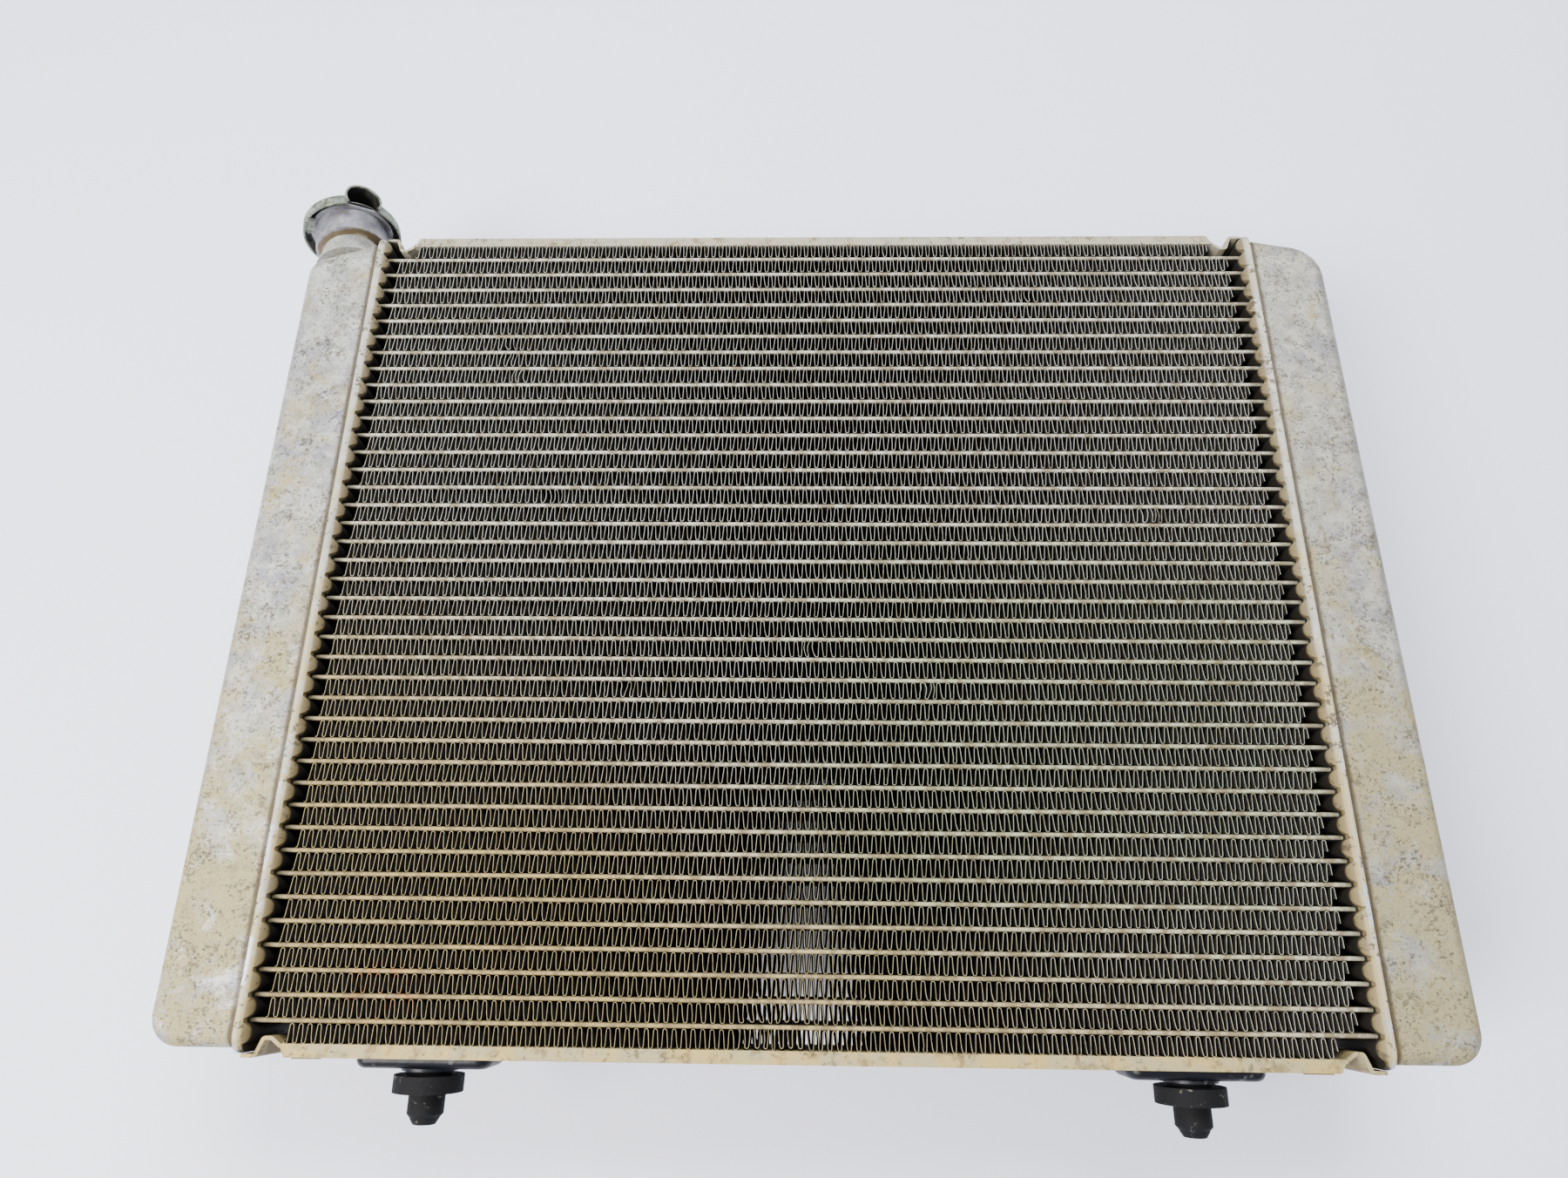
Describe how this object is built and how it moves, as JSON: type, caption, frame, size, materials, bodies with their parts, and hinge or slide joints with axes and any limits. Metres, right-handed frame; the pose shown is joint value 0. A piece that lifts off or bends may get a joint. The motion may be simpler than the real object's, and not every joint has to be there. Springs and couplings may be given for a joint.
{
  "type": "car radiator",
  "caption": "Crossflow aluminium car radiator with finned flat tubes, side tanks, a filler neck with a pressure cap, and rubber lower mounting pins.",
  "frame": {"origin": "centre of the four fan bracket holes, on the plane the brackets rest on, behind the core", "axes": "+X along the tubes to the inlet tank, +Y from the lower pins to the filler neck, +Z from the back of the radiator out of the core's front face"},
  "size_m": [0.574, 0.4808, 0.1101],
  "materials": {
    "core_tube": "dull aluminium with road dust on the front edges",
    "core_fin": "thin dusty aluminium strip, darker inside the core",
    "header_alloy": "dull pressed aluminium, rubbed bright on the rims",
    "tank_alloy": "weathered matte aluminium with speckled tan dust",
    "plate_alloy": "matte aluminium under tan dust",
    "neck_alloy": "dull blue-grey aluminium",
    "black_paint": "worn gloss black",
    "plated_steel": "plain zinc plate",
    "black_rubber": "matte with pale scuffs",
    "drain_plastic": "moulded black",
    "cap_steel": "oxidised grey-green plated steel",
    "spring_steel": "bright spring steel",
    "valve_brass": "plain turned brass"
  },
  "bodies": {
    "radiator": {"coolant_tubes": "core_tube", "cooling_fins": "core_fin", "left_header": "header_alloy", "right_header": "header_alloy", "left_tank": "tank_alloy", "right_tank": "tank_alloy", "top_side_plate": "plate_alloy", "bottom_side_plate": "plate_alloy", "fan_brackets": "tank_alloy", "inlet_spigot": "tank_alloy", "outlet_spigot": "tank_alloy", "drain_boss": "tank_alloy", "left_lower_bracket": "black_paint", "right_lower_bracket": "black_paint", "isolator_studs": "plated_steel", "left_isolator": "black_rubber", "right_isolator": "black_rubber", "filler_neck": "neck_alloy", "overflow_nipple": "neck_alloy"},
    "cap": {"cap_shell": "cap_steel", "cap_gasket": "black_rubber", "cap_spring_disc": "spring_steel", "cap_stem": "cap_steel", "pressure_spring": "spring_steel"},
    "pressure_valve": {"pressure_valve": "valve_brass", "pressure_seal": "black_rubber", "vacuum_spring": "spring_steel"},
    "vacuum_valve": {"vacuum_valve": "valve_brass"},
    "drain_seal": {"drain_seal": "black_rubber"},
    "drain_plug": {"drain_plug": "drain_plastic"}
  },
  "joints": [
    {"name": "cap_turn", "type": "hinge", "parent": "radiator", "child": "cap", "pos_m": [-0.26941, 0.23033, 0.08173], "axis": [-0.2079, 0.9751, -0.0767], "range_deg": [0, 90]},
    {"name": "pressure_valve_lift", "type": "slide", "parent": "cap", "child": "pressure_valve", "axis": [-0.2079, 0.9751, -0.0767], "range_m": [0, 0.0018], "stiffness_N_per_m": 5000, "springref_m": -0.006, "deforming": ["pressure_spring"]},
    {"name": "vacuum_valve_drop", "type": "slide", "parent": "pressure_valve", "child": "vacuum_valve", "axis": [0.2079, -0.9751, 0.0767], "range_m": [0, 0.001], "stiffness_N_per_m": 150, "springref_m": -0.0014, "deforming": ["vacuum_spring"]},
    {"name": "drain_travel", "type": "slide", "parent": "radiator", "child": "drain_seal", "axis": [0, 0, -1], "range_m": [0, 0.003]},
    {"name": "drain_turn", "type": "hinge", "parent": "drain_seal", "child": "drain_plug", "pos_m": [0.2585, -0.178, 0.055], "axis": [0, 0, -1], "range_deg": [0, 720]}
  ],
  "couplings": [
    {"joint": "drain_turn", "follows": "drain_travel", "rad_per_m": 4188.8}
  ]
}
